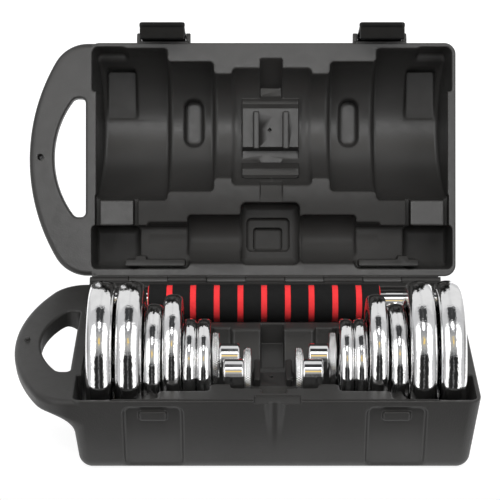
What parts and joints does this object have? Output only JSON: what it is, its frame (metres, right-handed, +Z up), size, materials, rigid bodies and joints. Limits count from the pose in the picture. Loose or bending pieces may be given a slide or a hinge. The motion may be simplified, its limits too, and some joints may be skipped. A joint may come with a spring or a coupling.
{
  "type": "adjustable dumbbell set in carry case",
  "caption": "Open double-wall carry case holding chrome dumbbell plates, spin-lock collars, bars and a foam-gripped connecting tube.",
  "frame": {"origin": "centre of the flat underside of the case body", "axes": "+X along the case away from its handle, +Y towards the hinge, +Z up"},
  "size_m": [0.446, 0.4223, 0.3311],
  "materials": {
    "case_plastic": "satin, fine moulded grain outside",
    "latch_plastic": "satin",
    "chrome": "bright chrome plate",
    "steel": "drawn wire",
    "rubber": "matt",
    "red_foam": "matt foam",
    "black_foam": "matt foam"
  },
  "bodies": {
    "case_base": {"base_shell": "case_plastic", "hinge_pin": "steel"},
    "case_lid": {"lid_shell": "case_plastic", "latch_pin_left": "steel", "latch_pin_right": "steel"},
    "latch_left": {"latch_left": "latch_plastic"},
    "latch_right": {"latch_right": "latch_plastic"},
    "plate_large_left_outer": {"plate_large_left_outer": "chrome"},
    "plate_large_left_inner": {"plate_large_left_inner": "chrome"},
    "plate_medium_left_outer": {"plate_medium_left_outer": "chrome"},
    "plate_medium_left_inner": {"plate_medium_left_inner": "chrome"},
    "plate_small_left_outer": {"plate_small_left_outer": "chrome"},
    "plate_small_left_inner": {"plate_small_left_inner": "chrome"},
    "plate_large_right_outer": {"plate_large_right_outer": "chrome"},
    "plate_large_right_inner": {"plate_large_right_inner": "chrome"},
    "plate_medium_right_outer": {"plate_medium_right_outer": "chrome"},
    "plate_medium_right_inner": {"plate_medium_right_inner": "chrome"},
    "plate_small_right_outer": {"plate_small_right_outer": "chrome"},
    "plate_small_right_inner": {"plate_small_right_inner": "chrome"},
    "collar_left_rear": {"collar_left_rear": "chrome", "ring_left_rear": "rubber"},
    "collar_left_front": {"collar_left_front": "chrome", "ring_left_front": "rubber"},
    "collar_right_rear": {"collar_right_rear": "chrome", "ring_right_rear": "rubber"},
    "collar_right_front": {"collar_right_front": "chrome", "ring_right_front": "rubber"},
    "bar_front": {"bar_front": "chrome", "bar_front_stops": "chrome"},
    "bar_rear": {"bar_rear": "chrome", "bar_rear_stops": "chrome"},
    "connector": {"connector_tube": "chrome", "grip_sleeve": "red_foam", "grip_bands": "black_foam"}
  },
  "joints": [
    {"name": "lid_hinge", "type": "hinge", "parent": "case_base", "child": "case_lid", "pos_m": [0, 0.1265, 0.08], "axis": [-1, 0, 0], "range_deg": [-116, 0]},
    {"name": "latch_left_hinge", "type": "hinge", "parent": "case_lid", "child": "latch_left", "pos_m": [-0.1135, 0.254, 0.30264], "axis": [-1, 0, 0], "range_deg": [-8, 100]},
    {"name": "latch_right_hinge", "type": "hinge", "parent": "case_lid", "child": "latch_right", "pos_m": [0.1135, 0.254, 0.30264], "axis": [-1, 0, 0], "range_deg": [-8, 100]},
    {"name": "plate_large_left_outer_lift", "type": "slide", "parent": "case_base", "child": "plate_large_left_outer", "axis": [0, 0, 1], "range_m": [0, 0.12]},
    {"name": "plate_large_left_inner_lift", "type": "slide", "parent": "case_base", "child": "plate_large_left_inner", "axis": [0, 0, 1], "range_m": [0, 0.12]},
    {"name": "plate_medium_left_outer_lift", "type": "slide", "parent": "case_base", "child": "plate_medium_left_outer", "axis": [0, 0, 1], "range_m": [0, 0.12]},
    {"name": "plate_medium_left_inner_lift", "type": "slide", "parent": "case_base", "child": "plate_medium_left_inner", "axis": [0, 0, 1], "range_m": [0, 0.12]},
    {"name": "plate_small_left_outer_lift", "type": "slide", "parent": "case_base", "child": "plate_small_left_outer", "axis": [0, 0, 1], "range_m": [0, 0.12]},
    {"name": "plate_small_left_inner_lift", "type": "slide", "parent": "case_base", "child": "plate_small_left_inner", "axis": [0, 0, 1], "range_m": [0, 0.12]},
    {"name": "plate_large_right_outer_lift", "type": "slide", "parent": "case_base", "child": "plate_large_right_outer", "axis": [0, 0, 1], "range_m": [0, 0.12]},
    {"name": "plate_large_right_inner_lift", "type": "slide", "parent": "case_base", "child": "plate_large_right_inner", "axis": [0, 0, 1], "range_m": [0, 0.12]},
    {"name": "plate_medium_right_outer_lift", "type": "slide", "parent": "case_base", "child": "plate_medium_right_outer", "axis": [0, 0, 1], "range_m": [0, 0.12]},
    {"name": "plate_medium_right_inner_lift", "type": "slide", "parent": "case_base", "child": "plate_medium_right_inner", "axis": [0, 0, 1], "range_m": [0, 0.12]},
    {"name": "plate_small_right_outer_lift", "type": "slide", "parent": "case_base", "child": "plate_small_right_outer", "axis": [0, 0, 1], "range_m": [0, 0.12]},
    {"name": "plate_small_right_inner_lift", "type": "slide", "parent": "case_base", "child": "plate_small_right_inner", "axis": [0, 0, 1], "range_m": [0, 0.12]},
    {"name": "collar_left_rear_lift", "type": "slide", "parent": "case_base", "child": "collar_left_rear", "axis": [0, 0, 1], "range_m": [0, 0.1]},
    {"name": "collar_left_front_lift", "type": "slide", "parent": "case_base", "child": "collar_left_front", "axis": [0, 0, 1], "range_m": [0, 0.1]},
    {"name": "collar_right_rear_lift", "type": "slide", "parent": "case_base", "child": "collar_right_rear", "axis": [0, 0, 1], "range_m": [0, 0.1]},
    {"name": "collar_right_front_lift", "type": "slide", "parent": "case_base", "child": "collar_right_front", "axis": [0, 0, 1], "range_m": [0, 0.1]},
    {"name": "bars_lift", "type": "slide", "parent": "case_base", "child": "bar_front", "axis": [0, 0, 1], "range_m": [0, 0.16]},
    {"name": "bar_rear_lift", "type": "slide", "parent": "case_base", "child": "bar_rear", "axis": [0, 0, 1], "range_m": [0, 0.16]},
    {"name": "connector_lift", "type": "slide", "parent": "bar_front", "child": "connector", "axis": [0, 0, 1], "range_m": [0, 0.06]}
  ],
  "couplings": [
    {"joint": "bar_rear_lift", "follows": "bars_lift", "ratio": 1}
  ]
}
